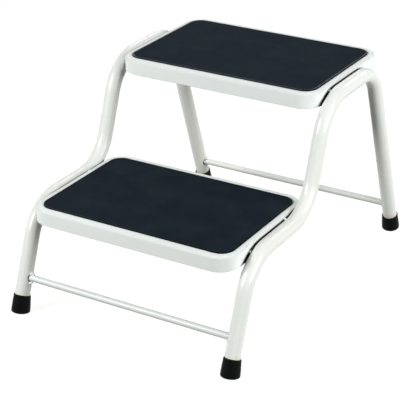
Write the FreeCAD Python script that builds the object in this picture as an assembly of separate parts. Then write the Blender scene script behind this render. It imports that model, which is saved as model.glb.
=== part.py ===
import FreeCAD, Part
import os
from math import asin, cos, degrees, radians, sin, sqrt, tan

# Medical step stool with two treads: millimetres and degrees.
# +X is the stool's width, +Y runs from the front (the lower step) to the back, +Z is up.
# The origin lies on the floor, in the middle of the stool's width and depth.

# Step heights: floor to the lower pan's flat top, and from there to the upper pan's
lower_step_height = 188.7
step_rise = 172.5

# Tread mats
mat_width = 353.5
mat_depth = 230.6
mat_thickness = 2.0
mat_corner_radius = 23.0
mat_edge_round = 1.6

# Tread pans, pressed from sheet with a deep skirt and a hem folded up inside it
sheet = 1.2
pan_side_rim = 11.0
pan_end_rim = 13.5
pan_corner_radius = 35.0
pan_edge_round = 3.5
skirt_depth = 25.5
hem_height = 8.0

# Side frames: each is one bent tube in an upright plane. Angles are from the vertical.
tube_radius = 12.7
tube_wall = 1.5
tube_drop = 11.8
pan_tube_gap = 0.6
front_leg_angle = 20.7
riser_angle = 20.5
rear_leg_angle = 18.8
lower_run_length = 183.2
upper_run_length = 173.1
front_leg_bend = 78.0
lower_riser_bend = 77.0
upper_riser_bend = 79.0
rear_leg_bend = 64.0

# The pans' middles lie in front of the lower run's middle and behind the upper run's
lower_pan_forward = 6.5
upper_pan_back = 21.0

# Round crossbars: each end stands in a wider hole in the inner side of a leg
bar_radius = 5.7
bar_entry = 6.0
bar_hole_clearance = 2.0
front_bar_height = 59.9
rear_bar_height = 55.5

# Rubber ferrules: the rim is square to the leg, and the sole gives way inwards under the load, so
# it leans less than the leg and stands on a flat at its heel
ferrule_length = 31.0
ferrule_floor = 6.0
ferrule_bore_clearance = 0.15
ferrule_rim_wall = 0.9
ferrule_flare = 2.4
ferrule_sole_round = 2.5
sole_angle = 12.0
sole_shift = 3.0
heel_flat_depth = 0.9

# Tack welds in the groove between pan and tube, from the corners at the ends of their run
lower_front_tack_setback = 22.6
lower_rear_tack_setback = 49.0
upper_front_tack_setback = 35.0
upper_rear_tack_setback = 27.6
tack_radius = 3.4
tack_rise = 6.0

# Dots of weld above and below each end of a crossbar
bar_weld_radius = 3.8
bar_weld_rise = 1.9

# Values that follow from the sizes above
hem_round = 0.9 * sheet
ferrule_rim_radius = tube_radius + ferrule_bore_clearance + ferrule_rim_wall
ferrule_sole_radius = ferrule_rim_radius + ferrule_flare
pan_width = mat_width + 2 * pan_side_rim
pan_depth = mat_depth + 2 * pan_end_rim
tube_x = pan_width / 2 + pan_tube_gap + tube_radius
upper_step_height = lower_step_height + step_rise
lower_run_z = lower_step_height - tube_drop
upper_run_z = upper_step_height - tube_drop
sides = {"left": -1, "right": 1}


def point(x, y, z):
    """A place or a direction."""
    return FreeCAD.Vector(x, y, z)


def rearward(angle):
    """How far a leg or riser moves along Y for each millimetre of height."""
    return tan(radians(angle))


def sole_height():
    """Height of the middle of a ferrule's sole, which is tilted and cut flat at the heel."""
    edge_drop = (ferrule_sole_radius - ferrule_sole_round) * sin(radians(sole_angle))
    round_drop = ferrule_sole_round * (1 - cos(radians(sole_angle)))
    return edge_drop + round_drop - heel_flat_depth


# The side frames' layout along Y, from the front leg at its sole's height back to each corner of
# the tube's centre line and to the rear leg at its sole's height. The origin is in the middle.
sole_z = sole_height()
front_corner = (lower_run_z - sole_z) * rearward(front_leg_angle)
riser_foot = front_corner + lower_run_length
riser_head = riser_foot + step_rise * rearward(riser_angle)
rear_corner = riser_head + upper_run_length
rear_foot = rear_corner + (upper_run_z - sole_z) * rearward(rear_leg_angle)
front_y = -rear_foot / 2


class Leg:
    """A straight leg with its foot, the way up it, its sole and its crossbar."""

    def __init__(self, y, angle, way, bar_height):
        self.foot = point(0, y, sole_z)
        self.up = point(0, way * sin(radians(angle)), cos(radians(angle)))
        self.tube_end = self.foot + self.up * ferrule_floor
        self.rim = self.foot + self.up * ferrule_length
        self.sole = self.foot + point(0, way * sole_shift, 0)
        self.sole_up = point(0, way * sin(radians(sole_angle)), cos(radians(sole_angle)))
        self.bar_middle = self.foot + self.up * ((bar_height - sole_z) / self.up.z)


legs = {
    "front": Leg(front_y, front_leg_angle, 1, front_bar_height),
    "rear": Leg(front_y + rear_foot, rear_leg_angle, -1, rear_bar_height),
}

# Corners of a side frame's centre line, from the front tube end to the rear one
frame_corners = [
    legs["front"].tube_end,
    point(0, front_y + front_corner, lower_run_z),
    point(0, front_y + riser_foot, lower_run_z),
    point(0, front_y + riser_head, upper_run_z),
    point(0, front_y + rear_corner, upper_run_z),
    legs["rear"].tube_end,
]
frame_bends = [front_leg_bend, lower_riser_bend, upper_riser_bend, rear_leg_bend]


class Run:
    """A level stretch of the tube with its two bends, and the pan and tack welds along it."""

    def __init__(self, first, last, bends, angles, rear_way, pan_shift, tack_setbacks):
        self.z = first.z
        self.front_bend, self.rear_bend = bends
        self.rear_way = rear_way
        front_turn, rear_turn = (radians(90 - angle) for angle in angles)
        self.start = first.y + self.front_bend * tan(front_turn / 2)
        self.end = last.y - self.rear_bend * tan(rear_turn / 2)
        self.pan_y = (first.y + last.y) / 2 + pan_shift
        self.tack_y = {"front": first.y + tack_setbacks[0], "rear": last.y - tack_setbacks[1]}

    def centre_line(self, y):
        """Height and slope of the tube's centre line at y, on the run or on one of its bends."""
        if y < self.start:
            back = self.start - y
            drop = self.front_bend - sqrt(self.front_bend**2 - back**2)
            return self.z - drop, asin(back / self.front_bend)
        if y > self.end:
            past = y - self.end
            change = self.rear_bend - sqrt(self.rear_bend**2 - past**2)
            return self.z + self.rear_way * change, self.rear_way * asin(past / self.rear_bend)
        return self.z, 0.0


# The lower run turns up into the riser, and the upper run turns down into the rear leg
runs = {
    "lower": Run(
        frame_corners[1],
        frame_corners[2],
        (front_leg_bend, lower_riser_bend),
        (front_leg_angle, riser_angle),
        1,
        -lower_pan_forward,
        (lower_front_tack_setback, lower_rear_tack_setback),
    ),
    "upper": Run(
        frame_corners[3],
        frame_corners[4],
        (upper_riser_bend, rear_leg_bend),
        (riser_angle, rear_leg_angle),
        -1,
        upper_pan_back,
        (upper_front_tack_setback, upper_rear_tack_setback),
    ),
}


def bent_rod(radius, x):
    """Round rod along a side frame's centre line: straight runs joined by tangent arcs."""
    shift = point(x, 0, 0)
    pieces = []
    start = frame_corners[0]
    for index, bend in enumerate(frame_bends):
        before, corner, after = frame_corners[index : index + 3]
        way_in = (corner - before).normalize()
        way_out = (after - corner).normalize()
        turn = way_in.getAngle(way_out)
        setback = bend * tan(turn / 2)
        arc_start = corner - way_in * setback
        axis = way_in.cross(way_out).normalize()
        centre = arc_start + axis.cross(way_in) * bend
        run = (arc_start - start).Length
        pieces.append(Part.makeCylinder(radius, run, start + shift, way_in))
        disc = Part.Face(Part.Wire(Part.makeCircle(radius, arc_start + shift, way_in)))
        pieces.append(disc.revolve(centre + shift, axis, degrees(turn)))
        start = corner + way_out * setback
    last = frame_corners[-1] - start
    length = last.Length
    pieces.append(Part.makeCylinder(radius, length, start + shift, last.normalize()))
    return pieces[0].multiFuse(pieces[1:]).removeSplitter()


def rounded_block(width, depth, height, corner, middle_y, bottom_z):
    """Upright block with round corners of the radius corner, centred on x = 0 and middle_y."""
    low = point(-width / 2, middle_y - depth / 2, bottom_z)
    block = Part.makeBox(width, depth, height, low)
    upright = [edge for edge in block.Edges if edge.BoundBox.ZLength > height / 2]
    return block.makeFillet(corner, upright)


def level_edges(shape, height):
    """Edges of a shape that lie level at one height."""
    near = 0.01
    found = []
    for edge in shape.Edges:
        box = edge.BoundBox
        if abs(box.ZMin - height) < near and abs(box.ZMax - height) < near:
            found.append(edge)
    return found


def make_mat(run, top_z):
    """Flat rubber mat on a pan's top, with a softened upper edge."""
    mat = rounded_block(mat_width, mat_depth, mat_thickness, mat_corner_radius, run.pan_y, top_z)
    return mat.makeFillet(mat_edge_round, level_edges(mat, top_z + mat_thickness))


def inset_block(inset, height, run, bottom_z):
    """Block with a pan's outline drawn in by inset."""
    width = pan_width - 2 * inset
    depth = pan_depth - 2 * inset
    return rounded_block(width, depth, height, pan_corner_radius - inset, run.pan_y, bottom_z)


def pan_envelope(run, top_z):
    """The space inside a pan's outer surface, as one block."""
    bottom = top_z - skirt_depth
    block = inset_block(0, skirt_depth, run, bottom)
    block = block.makeFillet(pan_edge_round, level_edges(block, top_z))
    return block.makeFillet(hem_round, level_edges(block, bottom))


def make_pan(run, top_z):
    """Sheet pan: flat top, rounded rim, skirt all round and a hem folded up inside the skirt."""
    bottom = top_z - skirt_depth
    hollow = inset_block(sheet, skirt_depth - sheet, run, bottom)
    hollow = hollow.makeFillet(pan_edge_round - sheet, level_edges(hollow, top_z - sheet))
    mouth = inset_block(2 * sheet, hem_height, run, bottom)
    hem = inset_block(sheet, hem_height, run, bottom).cut(mouth)
    pan = pan_envelope(run, top_z).cut(hollow.cut(hem))
    inner_reach = pan_width / 2 - 1.5 * sheet
    inner_edges = [
        edge for edge in level_edges(pan, bottom)
        if max(abs(edge.BoundBox.XMin), abs(edge.BoundBox.XMax)) < inner_reach
        and abs(edge.CenterOfMass.y - run.pan_y) < pan_depth / 2 - 1.5 * sheet
    ]
    return pan.makeFillet(hem_round, inner_edges)


def make_ferrule(leg, x):
    """Flared rubber cup round a tube's end, with a flat at the heel where it meets the floor."""
    across = point(x, 0, 0)
    sole = Part.makeCircle(ferrule_sole_radius, leg.sole + across, leg.sole_up)
    rim = Part.makeCircle(ferrule_rim_radius, leg.rim + across, leg.up)
    cup = Part.makeLoft([Part.Wire(sole), Part.Wire(rim)], True, True)
    lowest = min(cup.Faces, key=lambda face: face.CenterOfMass.z)
    cup = cup.makeFillet(ferrule_sole_round, lowest.Edges)
    bore_radius = tube_radius + ferrule_bore_clearance
    bore = Part.makeCylinder(bore_radius, ferrule_length, leg.tube_end + across, leg.up)
    room = 4 * ferrule_sole_radius
    corner = point(x - room / 2, leg.sole.y - room / 2, -room)
    return cup.cut(bore).cut(Part.makeBox(room, room, room, corner))


def make_tack(run, side, y, pan, rod):
    """Dot of weld in the groove between a pan's skirt and the tube, shaped by both of them."""
    height, slope = run.centre_line(y)
    rise = point(0, -sin(slope), cos(slope))
    groove = pan_tube_gap + tube_radius - sqrt(tube_radius**2 - tack_rise**2)
    middle = point(side * (pan_width + groove) / 2, y, height) + rise * tack_rise
    return Part.makeSphere(tack_radius, middle, point(1, 0, 0)).cut([pan, rod])


def make_bar_weld(leg, side, rise, bar, rod):
    """Dot of weld that bridges the hole's edge from a crossbar to the tube, along the leg."""
    inner_face = point(side * (tube_x - tube_radius), 0, 0)
    middle = leg.bar_middle + inner_face + leg.up * rise
    return Part.makeSphere(bar_weld_radius, middle, point(1, 0, 0)).cut([bar, rod])


def export(node, shape):
    """Write one closed solid as a node of its own."""
    if len(shape.Solids) != 1 or not shape.isValid():
        raise ValueError(f"{node} has {len(shape.Solids)} solids, valid: {shape.isValid()}")
    shape.Solids[0].exportStep(f"parts/{node}.step")


os.makedirs("parts", exist_ok=True)

# Crossbars, and the holes that their ends stand in
bars = {}
holes = []
bar_end = tube_x - tube_radius + bar_entry
for leg_name, leg in legs.items():
    left_end = leg.bar_middle - point(bar_end, 0, 0)
    bars[leg_name] = Part.makeCylinder(bar_radius, 2 * bar_end, left_end, point(1, 0, 0))
    hole_radius = bar_radius + bar_hole_clearance
    left_middle = leg.bar_middle - point(tube_x, 0, 0)
    holes.append(Part.makeCylinder(hole_radius, 2 * tube_x, left_middle, point(1, 0, 0)))
    export(f"{leg_name}_crossbar", bars[leg_name])

# Side frames
rods = {}
for side_name, side in sides.items():
    rods[side_name] = bent_rod(tube_radius, side * tube_x)
    bore = bent_rod(tube_radius - tube_wall, side * tube_x)
    export(f"{side_name}_side_frame", rods[side_name].cut([bore, *holes]))

# Treads: a pan with its mat along each run, tacked to both tubes
step_heights = {"lower": lower_step_height, "upper": upper_step_height}
for tread, top_z in step_heights.items():
    run = runs[tread]
    export(f"{tread}_tread_pan", make_pan(run, top_z))
    export(f"{tread}_tread_mat", make_mat(run, top_z))
    envelope = pan_envelope(run, top_z)
    for side_name, side in sides.items():
        for tack_end, tack_y in run.tack_y.items():
            tack = make_tack(run, side, tack_y, envelope, rods[side_name])
            export(f"{tread}_{side_name}_{tack_end}_tack_weld", tack)

# Legs: dots of weld above and below each end of the crossbar, and a ferrule on each foot
for leg_name, leg in legs.items():
    for side_name, side in sides.items():
        for place, way in (("upper", 1), ("lower", -1)):
            rise = way * (bar_radius + bar_weld_rise)
            weld = make_bar_weld(leg, side, rise, bars[leg_name], rods[side_name])
            export(f"{leg_name}_{side_name}_crossbar_{place}_weld", weld)
        export(f"{leg_name}_{side_name}_ferrule", make_ferrule(leg, side * tube_x))
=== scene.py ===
import math

import bmesh
import bpy
import mathutils
from mathutils import Matrix, Vector


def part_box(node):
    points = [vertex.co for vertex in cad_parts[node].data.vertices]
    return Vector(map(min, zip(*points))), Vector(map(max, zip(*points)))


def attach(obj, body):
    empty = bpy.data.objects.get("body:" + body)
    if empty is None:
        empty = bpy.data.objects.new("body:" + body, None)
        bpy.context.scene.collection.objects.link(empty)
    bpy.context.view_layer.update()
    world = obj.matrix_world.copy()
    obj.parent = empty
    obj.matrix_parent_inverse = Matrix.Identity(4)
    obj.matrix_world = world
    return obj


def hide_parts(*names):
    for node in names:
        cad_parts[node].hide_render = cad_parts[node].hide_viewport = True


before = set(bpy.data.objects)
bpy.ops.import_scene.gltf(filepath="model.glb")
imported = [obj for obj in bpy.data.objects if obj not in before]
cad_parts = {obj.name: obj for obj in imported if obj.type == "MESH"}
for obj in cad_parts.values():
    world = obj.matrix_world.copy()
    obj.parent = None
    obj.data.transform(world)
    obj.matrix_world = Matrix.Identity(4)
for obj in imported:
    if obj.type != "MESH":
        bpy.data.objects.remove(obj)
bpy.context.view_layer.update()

bl_info = {
    "name": "Medical Step Stool",
    "version": (1, 0, 0),
    "blender": (4, 5, 0),
    "location": "View3D > Sidebar > Step Stool",
    "description": "Coats, mats and ferrules for a welded two-tread step stool",
    "category": "Object",
}


def linear(hex_colour):
    """An sRGB hex colour as the linear RGBA that Blender's sockets take."""
    channels = [int(hex_colour[i : i + 2], 16) / 255 for i in (1, 3, 5)]
    lit = [c / 12.92 if c <= 0.04045 else ((c + 0.055) / 1.055) ** 2.4 for c in channels]
    return (*lit, 1.0)


def colour_property(name, description, hex_colour):
    """A colour for a property group, shown with a colour picker."""
    return bpy.props.FloatVectorProperty(
        name=name,
        description=description,
        default=linear(hex_colour),
        size=4,
        min=0.0,
        max=1.0,
        subtype="COLOR",
    )


def length_property(name, description, metres):
    """A length for a property group, in metres."""
    return bpy.props.FloatProperty(
        name=name,
        description=description,
        default=metres,
        min=0.0,
        precision=5,
        subtype="DISTANCE",
        unit="LENGTH",
    )


class StoolColours(bpy.types.PropertyGroup):
    """Colours of the stool and of the floor below it."""

    tube: colour_property("Tube coat", "Powder coat on the tubes", "#E2E5E2")
    # The two bars share one coat; the rear bar's darker white is painted shade
    front_bar: colour_property("Front bar coat", "Powder coat on the front bar", "#DBE1E0")
    rear_bar: colour_property("Rear bar coat", "Darker coat on the rear bar, painted shade", "#D8DDDA")
    sheet: colour_property("Sheet coat", "Powder coat on the pressed pans", "#E9F0EE")
    # Painted shade on the pans' rounded edges, which would catch more light than their faces
    edge_shade: colour_property("Edge shade", "Painted shade on the pressed edges", "#D9DFDD")
    aged: colour_property("Aged coat", "Powder coat where it has yellowed", "#E3E4DB")
    damp: colour_property("Damp coat", "Powder coat yellowed by damp", "#D0CBB2")
    # Painted shade for spots close to other parts; also the colour of dust specks and weld ripples
    shade_and_dust: colour_property("Shade and dust", "Painted shade near other parts, and dust", "#8B8D7A")
    # Painted shade, near black, deep in grooves and joints
    groove_shade: colour_property("Groove shade", "Painted shade deep in a groove", "#0E0E0D")
    weld: colour_property("Weld", "Powder coat over weld metal", "#E9ECE8")
    mat: colour_property("Mat", "Rubber of the tread mats", "#1A2129")
    # Painted shade along the mats' cut side
    mat_side_shade: colour_property("Mat side", "Painted shade on the cut side of the mats", "#030406")
    # Painted highlight along the upper mat's crest
    mat_crest_highlight: colour_property("Mat crest highlight", "Painted highlight on the crest round a mat", "#56606A")
    mat_dust: colour_property("Mat dust", "Trodden dust on the mats", "#20292F")
    ferrule: colour_property("Ferrule", "Moulded rubber of the ferrules", "#040506")
    ferrule_dust: colour_property("Ferrule dust", "Floor dust on the ferrules", "#151514")
    floor: colour_property("Floor", "Warm grey that the floor throws back", "#716F66")


class StoolSizes(bpy.types.PropertyGroup):
    """Sizes that only the dressed stool has."""

    mat_corner: length_property("Mat corner", "Corner radius of a mat in plan", 0.023)
    mat_border: length_property("Mat border", "Width of a mat's raised border", 0.0018)
    mat_sink: length_property("Mat sink", "Depth of a mat's field below its border", 0.0003)
    mat_wave: length_property("Mat wave", "Height of the waves in a mat's field", 0.00012)
    ferrule_lip: length_property("Ferrule lip", "Height of the bead round a ferrule's rim", 0.0004)
    ferrule_belly: length_property("Ferrule belly", "Outward bow of a ferrule's side", 0.0004)
    mould_line: length_property("Mould line", "Height of a ferrule's parting line", 0.0002)
    weld_lump: length_property("Weld lump", "Unevenness of the weld metal", 0.0004)


def add_node(tree, kind, inputs=None, **settings):
    """Adds a node with its settings; each input takes a value or the socket that feeds it."""
    node = tree.nodes.new(kind)
    for setting, value in settings.items():
        setattr(node, setting, value)
    for socket, value in (inputs or {}).items():
        if isinstance(value, bpy.types.NodeSocket):
            tree.links.new(value, node.inputs[socket])
        else:
            node.inputs[socket].default_value = value
    return node


def new_material(name):
    """An empty node material and its tree."""
    material = bpy.data.materials.new(name)
    material.use_nodes = True
    material.node_tree.nodes.clear()
    return material, material.node_tree


def finish_material(tree, surface):
    """Links a shader to the material's output."""
    output = add_node(tree, "ShaderNodeOutputMaterial")
    tree.links.new(surface, output.inputs["Surface"])


def object_place(tree):
    """Object coordinates, which are metres in the stool's own frame."""
    return add_node(tree, "ShaderNodeTexCoord").outputs["Object"]


def noise(tree, place, millimetres, detail=2.0, roughness=0.5):
    """Noise whose features are about so many millimetres across."""
    inputs = {
        "Vector": place,
        "Scale": 1000.0 / millimetres,
        "Detail": detail,
        "Roughness": roughness,
    }
    return add_node(tree, "ShaderNodeTexNoise", inputs).outputs["Fac"]


def remap(tree, value, low, high, to_low=0.0, to_high=1.0):
    """A value moved smoothly from one range to another and held inside it."""
    inputs = {
        "Value": value,
        "From Min": low,
        "From Max": high,
        "To Min": to_low,
        "To Max": to_high,
    }
    node = add_node(tree, "ShaderNodeMapRange", inputs, interpolation_type="SMOOTHSTEP")
    return node.outputs["Result"]


def mix(tree, share, first, second):
    """A colour between two, by share."""
    # Among the node's sockets for numbers, vectors and colours, these are the colours'
    first_socket, second_socket, result_socket = 6, 7, 2
    node = add_node(tree, "ShaderNodeMix", {"Factor": share}, data_type="RGBA")
    for socket, colour in ((first_socket, first), (second_socket, second)):
        if isinstance(colour, bpy.types.NodeSocket):
            tree.links.new(colour, node.inputs[socket])
        else:
            node.inputs[socket].default_value = colour[:]
    return node.outputs[result_socket]


def openness(tree, millimetres):
    """How open a spot is to its surroundings, 1 in the open and near 0 deep in a groove."""
    inputs = {"Distance": millimetres / 1000.0}
    return add_node(tree, "ShaderNodeAmbientOcclusion", inputs, samples=12).outputs["AO"]


def bump(tree, height, millimetres):
    """A normal from a height that spans so many millimetres."""
    inputs = {"Height": height, "Strength": 1.0, "Distance": millimetres / 1000.0}
    return add_node(tree, "ShaderNodeBump", inputs).outputs["Normal"]


def powder_coat(name, white, aged_share, edge_shade_share, roughness, colours):
    """Glossy white polyester powder, sprayed and baked on steel.

    It melts to an even film with a faint orange peel, so highlights are bright but
    soft-edged. Its colour carries painted shade in grooves, on pressed edges and close to other
    parts.
    """
    damp_from, damp_to = 0.03, 0.04  # metres above the floor
    speck_spacing = 34  # millimetres
    material, tree = new_material(name)
    place = object_place(tree)
    # Ageing drifts over a hand's breadth, film thickness over a finger's
    ageing = remap(tree, noise(tree, place, 110, detail=1.0), 0.35, 0.7, 0.0, aged_share)
    colour = mix(tree, ageing, white, colours.aged)
    # Painted shade on a pressed edge, where the sheet turns from level to upright and would catch
    # more light than its faces
    facing = add_node(tree, "ShaderNodeTexCoord").outputs["Normal"]
    level = add_node(tree, "ShaderNodeSeparateXYZ", {"Vector": facing}).outputs["Z"]
    turning = remap(tree, level, 0.02, 0.3)
    turned = remap(tree, level, 0.92, 0.995, edge_shade_share, 0.0)
    edge_shade = add_node(tree, "ShaderNodeMath", {0: turning, 1: turned}, operation="MULTIPLY")
    colour = mix(tree, edge_shade.outputs[0], colour, colours.edge_shade)
    # Damp floors have yellowed the coat just above the ferrules
    height = add_node(tree, "ShaderNodeSeparateXYZ", {"Vector": place}).outputs["Z"]
    dry = remap(tree, height, damp_from, damp_to, 0.35, 1.0)
    colour = mix(tree, dry, colours.damp, colour)
    # Painted shade: what lies close to other parts, as under the treads, darkens towards the shade
    # colour
    under = remap(tree, openness(tree, 30), 0.1, 0.65)
    colour = mix(tree, under, colours.shade_and_dust, colour)
    # Specks of dirt a millimetre across, a few on each tube
    inputs = {"Vector": place, "Scale": 1000.0 / speck_spacing}
    specks = add_node(tree, "ShaderNodeTexVoronoi", inputs)
    speck = remap(tree, specks.outputs["Distance"], 0.018, 0.034)
    colour = mix(tree, speck, colours.shade_and_dust, colour)
    # Painted shade: deep in a groove the coat turns near black
    groove = remap(tree, openness(tree, 7), 0.34, 0.68)
    colour = mix(tree, groove, colours.groove_shade, colour)
    film = noise(tree, place, 24)
    peel = noise(tree, place, 2.6, detail=0.0)
    inputs = {
        "Base Color": colour,
        "Roughness": remap(tree, film, 0.3, 0.7, roughness - 0.03, roughness + 0.03),
        "IOR": 1.5,
        "Normal": bump(tree, peel, 0.012),
    }
    shader = add_node(tree, "ShaderNodeBsdfPrincipled", inputs)
    finish_material(tree, shader.outputs["BSDF"])
    return material


def coated_weld(name, colours):
    """The same powder over rough weld metal, where ripples and spatter show through."""
    material, tree = new_material(name)
    place = object_place(tree)
    ripples = noise(tree, place, 1.4, detail=2.0)
    colour = mix(tree, remap(tree, ripples, 0.2, 0.45), colours.shade_and_dust, colours.weld)
    inputs = {
        "Base Color": colour,
        "Roughness": 0.5,
        "IOR": 1.5,
        "Normal": bump(tree, ripples, 0.15),
    }
    shader = add_node(tree, "ShaderNodeBsdfPrincipled", inputs)
    finish_material(tree, shader.outputs["BSDF"])
    return material


def mat_rubber(name, colours):
    """Black styrene-butadiene rubber sheet, pressed against a finely grained plate.

    The grain breaks up reflections, so the face is matt and takes a cloudy film of dust.
    """
    material, tree = new_material(name)
    place = object_place(tree)
    clouds = remap(tree, noise(tree, place, 48, detail=3.0), 0.35, 0.72)
    colour = mix(tree, clouds, colours.mat, colours.mat_dust)
    # The real grain is about half a millimetre; drawn twice as coarse, so that it shows
    grain = noise(tree, place, 1.1, detail=2.0)
    inputs = {
        "Base Color": colour,
        "Roughness": remap(tree, clouds, 0.0, 1.0, 0.71, 0.75),
        "Specular IOR Level": 0.01,
        "IOR": 1.52,
        "Normal": bump(tree, grain, 0.12),
    }
    shader = add_node(tree, "ShaderNodeBsdfPrincipled", inputs)
    finish_material(tree, shader.outputs["BSDF"])
    return material


def mat_edge_rubber(name, painted_edge_tone, specular, colours):
    """The same rubber along the cut edge, with painted shade on the side and a painted highlight
    on the crest.

    The knife and shoes have polished it, so it shines a little more than the face.
    """
    material, tree = new_material(name)
    place = object_place(tree)
    scuffs = noise(tree, place, 3.0, detail=3.0)
    worn = remap(tree, scuffs, 0.45, 0.75)
    inputs = {
        "Base Color": mix(tree, worn, painted_edge_tone, colours.mat),
        "Roughness": remap(tree, scuffs, 0.3, 0.7, 0.34, 0.46),
        "Specular IOR Level": specular,
        "IOR": 1.52,
        "Normal": bump(tree, scuffs, 0.03),
    }
    shader = add_node(tree, "ShaderNodeBsdfPrincipled", inputs)
    finish_material(tree, shader.outputs["BSDF"])
    return material


def ferrule_rubber(name, colours):
    """Black moulded rubber with the low sheen of a polished mould, dusty near the floor."""
    dusty_to = 0.007  # metres above the floor
    material, tree = new_material(name)
    place = object_place(tree)
    height = add_node(tree, "ShaderNodeSeparateXYZ", {"Vector": place}).outputs["Z"]
    low = remap(tree, height, 0.0, dusty_to, 1.0, 0.0)
    patches = remap(tree, noise(tree, place, 5, detail=3.0), 0.4, 0.7)
    dust = add_node(tree, "ShaderNodeMath", {0: low, 1: patches}, operation="MULTIPLY")
    texture = noise(tree, place, 0.9, detail=1.0)
    inputs = {
        "Base Color": mix(tree, dust.outputs[0], colours.ferrule, colours.ferrule_dust),
        "Roughness": remap(tree, patches, 0.0, 1.0, 0.42, 0.56),
        "Specular IOR Level": 0.05,
        "IOR": 1.52,
        "Normal": bump(tree, texture, 0.04),
    }
    shader = add_node(tree, "ShaderNodeBsdfPrincipled", inputs)
    finish_material(tree, shader.outputs["BSDF"])
    return material


def straight_rays(tree):
    """1 for rays from the camera, off gloss or through glass, and 0 for soft light."""
    paths = add_node(tree, "ShaderNodeLightPath").outputs
    share = paths["Is Camera Ray"]
    for kind in ("Is Glossy Ray", "Is Transmission Ray"):
        inputs = {0: share, 1: paths[kind]}
        share = add_node(tree, "ShaderNodeMath", inputs, operation="MAXIMUM").outputs[0]
    return share


def dress(node, material):
    """Gives a CAD node's object a material in every slot."""
    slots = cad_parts[node].data.materials
    if not slots:
        slots.append(material)
    for index in range(len(slots)):
        slots[index] = material


def nodes_with(word):
    """Names of the CAD nodes whose name holds the word."""
    return sorted(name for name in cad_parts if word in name)


def add_piece(name, shape, material, node):
    """Turns a bmesh into a smooth piece that stands for a CAD node."""
    bmesh.ops.recalc_face_normals(shape, faces=shape.faces)
    for face in shape.faces:
        face.smooth = True
    mesh = bpy.data.meshes.new(name)
    shape.to_mesh(mesh)
    shape.free()
    mesh.materials.append(material)
    piece = bpy.data.objects.new(name, mesh)
    bpy.context.scene.collection.objects.link(piece)
    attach(piece, "root")
    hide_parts(node)
    return piece


def skin(shape, loops):
    """Faces between closed loops of points, one loop to the next, with both ends closed."""
    rings = [[shape.verts.new(point) for point in loop] for loop in loops]
    for lower, upper in zip(rings, rings[1:]):
        for index in range(len(lower)):
            after = (index + 1) % len(lower)
            shape.faces.new((lower[index], lower[after], upper[after], upper[index]))
    shape.faces.new(rings[0])
    shape.faces.new(rings[-1])


def direction(bearing, elevation):
    """A unit vector by its bearing from the stool's front and its elevation, in degrees."""
    turn = math.radians(bearing)
    tilt = math.radians(elevation)
    flat = math.cos(tilt)
    return Vector((math.sin(turn) * flat, -math.cos(turn) * flat, math.sin(tilt)))


def mat_outline(low, high, radius, inset):
    """Points round a rectangle with rounded corners, in plan, moved inward."""
    corner_steps = 12
    longest_edge = 0.008
    turn = radius - inset
    corners = (
        (high.x - radius, high.y - radius),
        (low.x + radius, high.y - radius),
        (low.x + radius, low.y + radius),
        (high.x - radius, low.y + radius),
    )
    arcs = []
    for quarter, (x, y) in enumerate(corners):
        for step in range(corner_steps + 1):
            angle = math.pi / 2 * (quarter + step / corner_steps)
            arcs.append(Vector((x + turn * math.cos(angle), y + turn * math.sin(angle), 0)))
    points = []
    for start, end in zip(arcs, arcs[1:] + arcs[:1]):
        pieces = max(1, round((end - start).length / longest_edge))
        points += [start.lerp(end, piece / pieces) for piece in range(pieces)]
    return points


class STOOL_OT_coat_frame(bpy.types.Operator):
    """Coat the side frames, crossbars and pans"""

    bl_idname = "stool.coat_frame"
    bl_label = "Coat the frame"

    def execute(self, context):
        colours = context.scene.stool_colours
        # What is coated, with the share that has aged, the share of painted edge shade, and
        # roughness
        coats = {
            "side_frame": ("white powder coat on tube", colours.tube, 0.5, 0.0, 0.3),
            "front_crossbar": ("white powder coat on front bar", colours.front_bar, 0.1, 0.0, 0.4),
            # The rear bar's darker white is painted shade
            "rear_crossbar": (
                "darker white powder coat on rear bar",
                colours.rear_bar,
                0.5,
                0.0,
                0.5,
            ),
            "tread_pan": ("white powder coat on sheet", colours.sheet, 0.2, 1.0, 0.62),
        }
        for word, (name, white, aged, edge_shade, roughness) in coats.items():
            coat = powder_coat(name, white, aged, edge_shade, roughness, colours)
            for node in nodes_with(word):
                dress(node, coat)
        return {"FINISHED"}


# How far each kind of weld metal reaches from its middle, along X, Y and Z
TACK_REACH = Vector((0.0030, 0.0026, 0.0024))
FULL_DOT_REACH = Vector((0.0054, 0.0036, 0.0042))
SMALL_DOT_REACH = Vector((0.0033, 0.0024, 0.0024))


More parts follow.
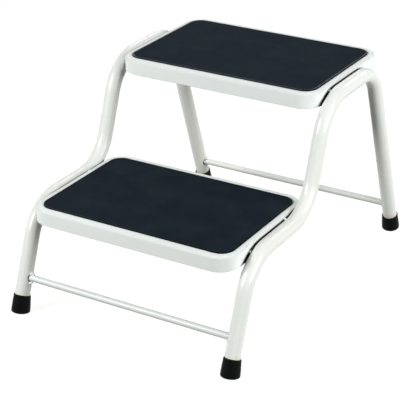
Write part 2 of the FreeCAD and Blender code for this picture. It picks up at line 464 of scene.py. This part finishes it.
class STOOL_OT_lay_beads(bpy.types.Operator):
    """Lay the weld metal in the grooves and at the ends of the crossbars"""

    bl_idname = "stool.lay_beads"
    bl_label = "Lay the weld beads"

    def execute(self, context):
        metal = coated_weld("white powder coat on weld", context.scene.stool_colours)
        lump = context.scene.stool_sizes.weld_lump
        tack_rise = Vector((0, 0, 0.0012))
        for node in nodes_with("tack_weld"):
            low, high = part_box(node)
            self.lay(node, (low + high) / 2 + tack_rise, TACK_REACH, 0.0, lump, metal)
        for node in nodes_with("crossbar_"):
            low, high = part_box(node)
            side = 1 if low.x > 0 else -1
            way = -1 if "lower" in node else 1
            # The dots at the front left leg are the full ones
            full = node.startswith("front_left")
            into_leg = 0.0012 if full else 0.0018
            shift = Vector((side * into_leg, -0.0014, way * -0.0004))
            reach = FULL_DOT_REACH if full else SMALL_DOT_REACH
            if way < 0:
                reach = Vector((0.8 * reach.x, reach.y, 0.5 * reach.z))
            self.lay(node, (low + high) / 2 + shift, reach, 0.6 * way, lump, metal)
        return {"FINISHED"}

    def lay(self, node, middle, reach, taper, lump, metal):
        """A lumpy bead of metal round a middle, which narrows away from the bar by its taper."""
        lumps_per_metre = 420.0
        ripple_pitch = 0.0013
        ripple_share = 0.25
        shape = bmesh.new()
        bmesh.ops.create_icosphere(shape, subdivisions=4, radius=1.0)
        for vert in shape.verts:
            out = vert.co.copy()
            narrow = 1 - taper * out.z
            spread = Vector((out.x * reach.x * narrow, out.y * reach.y, out.z * reach.z))
            place = middle + spread
            rough = mathutils.noise.noise(place * lumps_per_metre)
            ripple = math.sin(place.y * 2 * math.pi / ripple_pitch) * ripple_share
            vert.co = place + out * lump * (rough + ripple)
        add_piece(node + "_bead", shape, metal, node)


class STOOL_OT_lay_mats(bpy.types.Operator):
    """Lay the rubber mats on the treads"""

    bl_idname = "stool.lay_mats"
    bl_label = "Lay the mats"

    def execute(self, context):
        colours = context.scene.stool_colours
        rubber = mat_rubber("black mat rubber", colours)
        # The side bands take painted shade, near black
        side = mat_edge_rubber("painted shade on mat side", colours.mat_side_shade, 0.03, colours)
        crest = mat_edge_rubber("painted highlight on mat crest", colours.mat_crest_highlight, 0.16, colours)
        # Only the upper mat's crest takes the painted highlight; the lower mat's crest takes the
        # side's painted shade
        self.lay("lower_tread_mat", context.scene.stool_sizes, rubber, side, side)
        self.lay("upper_tread_mat", context.scene.stool_sizes, rubber, side, crest)
        return {"FINISHED"}

    def lay(self, node, sizes, rubber, side, crest):
        """A mat with a steep side, a narrow raised border and a faintly waved field."""
        field_steps = 24
        waves_per_metre = 22.0
        low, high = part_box(node)
        thick = high.z - low.z
        border = sizes.mat_border
        # Inward distance and height of each line round the mat, from the pan upward
        lines = (
            (0.0, 0.0),
            (0.0001, 0.5 * thick),
            (0.00025, 0.8 * thick),
            (0.0006, 0.96 * thick),
            (0.001, thick),
            (border, thick),
            (border + 0.0007, thick - 0.5 * sizes.mat_sink),
            (border + 0.0012, thick - sizes.mat_sink),
        )
        loops = []
        for inset, height in lines:
            outline = mat_outline(low, high, sizes.mat_corner, inset)
            loops.append([point + Vector((0, 0, low.z + height)) for point in outline])
        middle = (low + high) / 2
        edge = loops[-1]
        for step in range(1, field_steps):
            share = 1 - step / field_steps
            loop = []
            for point in edge:
                place = middle.lerp(point, share)
                wave = mathutils.noise.noise(place * waves_per_metre) - 1
                rise = min(1.0, step / 3) * sizes.mat_wave * wave
                loop.append(Vector((place.x, place.y, edge[0].z + rise)))
            loops.append(loop)
        shape = bmesh.new()
        skin(shape, loops)
        # Faces run round the mat, line by line: five bands of side, one of crest, the field
        bands = (1, 1, 1, 1, 1, 2)
        for index, face in enumerate(shape.faces):
            line = index // len(edge)
            face.material_index = bands[line] if line < len(bands) else 0
        sheet = add_piece(node + "_sheet", shape, rubber, node)
        sheet.data.materials.append(side)
        sheet.data.materials.append(crest)


# Each leg's ferrule in side view: the middle and slope of its sole, then of its rim
FERRULE_LINES = {
    "front": (Vector((0, -0.299577, 0.001993)), 12.0, Vector((0, -0.291619, 0.030991)), 20.7),
    "rear": (Vector((0, 0.299577, 0.001993)), -12.0, Vector((0, 0.292587, 0.031339)), -18.8),
}


class STOOL_OT_push_on_ferrules(bpy.types.Operator):
    """Push the rubber ferrules on the tube ends"""

    bl_idname = "stool.push_on_ferrules"
    bl_label = "Push on the ferrules"

    def execute(self, context):
        rubber = ferrule_rubber("black ferrule rubber", context.scene.stool_colours)
        for leg, line in FERRULE_LINES.items():
            for side in ("left", "right"):
                self.push_on(f"{leg}_{side}_ferrule", line, context.scene.stool_sizes, rubber)
        return {"FINISHED"}

    def push_on(self, node, line, sizes, rubber):
        """A flared cup with a rounded sole, a bead round its rim and a parting line."""
        low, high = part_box(node)
        across = Vector(((low.x + high.x) / 2, 0, 0))
        sole, sole_slope, rim, rim_slope = line
        length = (rim - sole).length
        sole_radius, rim_radius, tube_radius = 0.0159, 0.0140, 0.0127
        sole_round = 0.0025
        turns = 96
        # The seam fades with the sine of twice the angle, and ends at a sine of the angle
        seam_width, seam_end = 0.12, 0.16
        lip = sizes.ferrule_lip
        # Height along the ferrule and distance out from its middle line
        profile = [(0.0009, 0.006), (0.0004, 0.008), (0.0, 0.0095)]
        for step in range(7):
            turn = math.radians(15 * step)
            out = sole_radius - sole_round * (1 - math.sin(turn))
            profile.append((sole_round * (1 - math.cos(turn)), out))
        for share in (0.2, 0.35, 0.5, 0.65, 0.78, 0.86):
            out = sole_radius + (rim_radius - sole_radius) * share
            bow = 4 * sizes.ferrule_belly * share * (1 - share)
            profile.append((share * length, out + bow))
        profile += [
            (length - 0.0034, rim_radius + 0.0004),
            (length - 0.0026, rim_radius + 0.0002 + lip),
            (length - 0.0012, rim_radius + lip),
            (length - 0.0004, rim_radius - 0.0001),
            (length, rim_radius - 0.0005),
            (length - 0.0002, tube_radius + 0.00015),
            (length - 0.003, tube_radius),
        ]
        loops = []
        for height, out in profile:
            share = height / length
            slope = math.radians(sole_slope + (rim_slope - sole_slope) * share)
            middle = sole.lerp(rim, share) + across
            loop = []
            for step in range(turns):
                turn = 2 * math.pi * step / turns
                # The halves of the mould meet at the front and the back, below the bead
                on_seam = 0.1 < share < 0.85 and abs(math.sin(turn)) < seam_end
                seam = math.exp(-((math.sin(2 * turn) / seam_width) ** 2)) if on_seam else 0.0
                reach = out + sizes.mould_line * seam
                along = math.cos(turn) * reach
                tilted = (along * math.cos(slope), -along * math.sin(slope))
                place = middle + Vector((math.sin(turn) * reach, *tilted))
                # The sole is pressed flat on the floor
                place.z = max(place.z, 0.0)
                loop.append(place)
            loops.append(loop)
        shape = bmesh.new()
        skin(shape, loops)
        add_piece(node + "_cup", shape, rubber, node)


class STOOL_OT_set_stage(bpy.types.Operator):
    """Set the floor, the lights and the camera"""

    bl_idname = "stool.set_stage"
    bl_label = "Set the stage"

    def execute(self, context):
        scene = context.scene
        scene.view_settings.view_transform = "Standard"
        self.lay_floor(scene)
        self.light_world(scene)
        self.hang_lamps(scene)
        self.place_camera(scene)
        return {"FINISHED"}

    def lay_floor(self, scene):
        """A wide pale disc that keeps the stool's soft shadow and looks white beyond it.

        Seen straight, off gloss or through glass, it glows a little under the shadow.
        To the soft light round the stool it is a plain grey floor.
        """
        radius = 2.5
        strength = 0.93
        mesh = bpy.data.meshes.new("studio_floor")
        shape = bmesh.new()
        bmesh.ops.create_circle(shape, cap_ends=True, segments=96, radius=radius)
        shape.to_mesh(mesh)
        shape.free()
        floor = bpy.data.objects.new("studio_floor", mesh)
        scene.collection.objects.link(floor)
        material, tree = new_material("pale studio floor")
        grey = scene.stool_colours.floor[:]
        paint = add_node(tree, "ShaderNodeBsdfDiffuse", {"Color": grey})
        glow = add_node(tree, "ShaderNodeEmission", {"Strength": strength})
        lift = add_node(tree, "ShaderNodeAddShader")
        tree.links.new(paint.outputs[0], lift.inputs[0])
        tree.links.new(glow.outputs[0], lift.inputs[1])
        blend = add_node(tree, "ShaderNodeMixShader", {"Fac": straight_rays(tree)})
        tree.links.new(paint.outputs[0], blend.inputs[1])
        tree.links.new(lift.outputs[0], blend.inputs[2])
        finish_material(tree, blend.outputs[0])
        mesh.materials.append(material)

    def light_world(self, scene):
        """Faint light from all round, which looks white straight on and off gloss."""
        faint, full = 0.02, 1.0
        white = (1, 1, 1, 1)
        world = bpy.data.worlds.new("studio")
        scene.world = world
        world.use_nodes = True
        tree = world.node_tree
        tree.nodes.clear()
        light = add_node(tree, "ShaderNodeBackground", {"Color": white, "Strength": faint})
        glow = add_node(tree, "ShaderNodeBackground", {"Color": white, "Strength": full})
        seen = add_node(tree, "ShaderNodeMixShader", {"Fac": straight_rays(tree)})
        tree.links.new(light.outputs[0], seen.inputs[1])
        tree.links.new(glow.outputs[0], seen.inputs[2])
        output = add_node(tree, "ShaderNodeOutputWorld")
        tree.links.new(seen.outputs[0], output.inputs["Surface"])

    def hang_lamps(self, scene):
        """Soft boxes round the stool, by bearing from the front, elevation and watts."""
        lamps = {
            "left": (-34.0, 32.0, 119.0),
            "front_right": (71.0, 22.0, 35.0),
            "right_low": (96.0, 14.0, 68.0),
            "right_high": (96.0, 32.0, 27.0),
            "back": (-149.0, 26.0, 14.0),
            "back_right": (165.0, 32.0, 16.0),
        }
        box_width = 1.25
        distance = 3.6
        aim = Vector((0.0, 0.0, 0.18))
        for name, (bearing, elevation, watts) in lamps.items():
            lamp = bpy.data.lights.new(name, "AREA")
            lamp.shape = "SQUARE"
            lamp.size = box_width
            lamp.energy = watts
            way = direction(bearing, elevation)
            holder = bpy.data.objects.new(name, lamp)
            holder.location = aim + distance * way
            holder.rotation_mode = "QUATERNION"
            holder.rotation_quaternion = way.to_track_quat("Z", "Y")
            holder.visible_camera = False
            scene.collection.objects.link(holder)

    def place_camera(self, scene):
        """The photograph's view: from the front right, a little above, through a long lens."""
        bearing, elevation = 30.806, 25.618
        roll = math.radians(-0.36)
        place = Vector((1.14354, -1.94298, 1.19785))
        back = direction(bearing, elevation)
        level = direction(bearing + 90, 0.0)
        upright = back.cross(level)
        right = level * math.cos(roll) + upright * math.sin(roll)
        up = back.cross(right)
        lens = bpy.data.cameras.new("camera")
        lens.sensor_width = 36.0
        lens.lens = 125.215  # millimetres, like the sensor
        camera = bpy.data.objects.new("camera", lens)
        turn = Matrix((right, up, back)).transposed().to_4x4()
        camera.matrix_world = Matrix.Translation(place) @ turn
        scene.collection.objects.link(camera)
        scene.camera = camera


class STOOL_PT_panel(bpy.types.Panel):
    """Colours, sizes and the steps that dress the stool"""

    bl_idname = "STOOL_PT_panel"
    bl_label = "Step Stool"
    bl_space_type = "VIEW_3D"
    bl_region_type = "UI"
    bl_category = "Step Stool"

    def draw(self, context):
        scene = context.scene
        for group in (scene.stool_colours, scene.stool_sizes):
            for name in group.bl_rna.properties.keys():
                if name not in ("rna_type", "name"):
                    self.layout.prop(group, name)
        for step in STEPS:
            self.layout.operator(step.bl_idname)


STEPS = (
    STOOL_OT_coat_frame,
    STOOL_OT_lay_beads,
    STOOL_OT_lay_mats,
    STOOL_OT_push_on_ferrules,
    STOOL_OT_set_stage,
)
CLASSES = (StoolColours, StoolSizes, *STEPS, STOOL_PT_panel)


def register():
    for item in CLASSES:
        bpy.utils.register_class(item)
    bpy.types.Scene.stool_colours = bpy.props.PointerProperty(type=StoolColours)
    bpy.types.Scene.stool_sizes = bpy.props.PointerProperty(type=StoolSizes)


def unregister():
    del bpy.types.Scene.stool_sizes
    del bpy.types.Scene.stool_colours
    for item in reversed(CLASSES):
        bpy.utils.unregister_class(item)


def main():
    """Dresses the stool."""
    register()
    bpy.ops.stool.coat_frame()
    bpy.ops.stool.lay_beads()
    bpy.ops.stool.lay_mats()
    bpy.ops.stool.push_on_ferrules()
    bpy.ops.stool.set_stage()


if __name__ == "__main__":
    main()
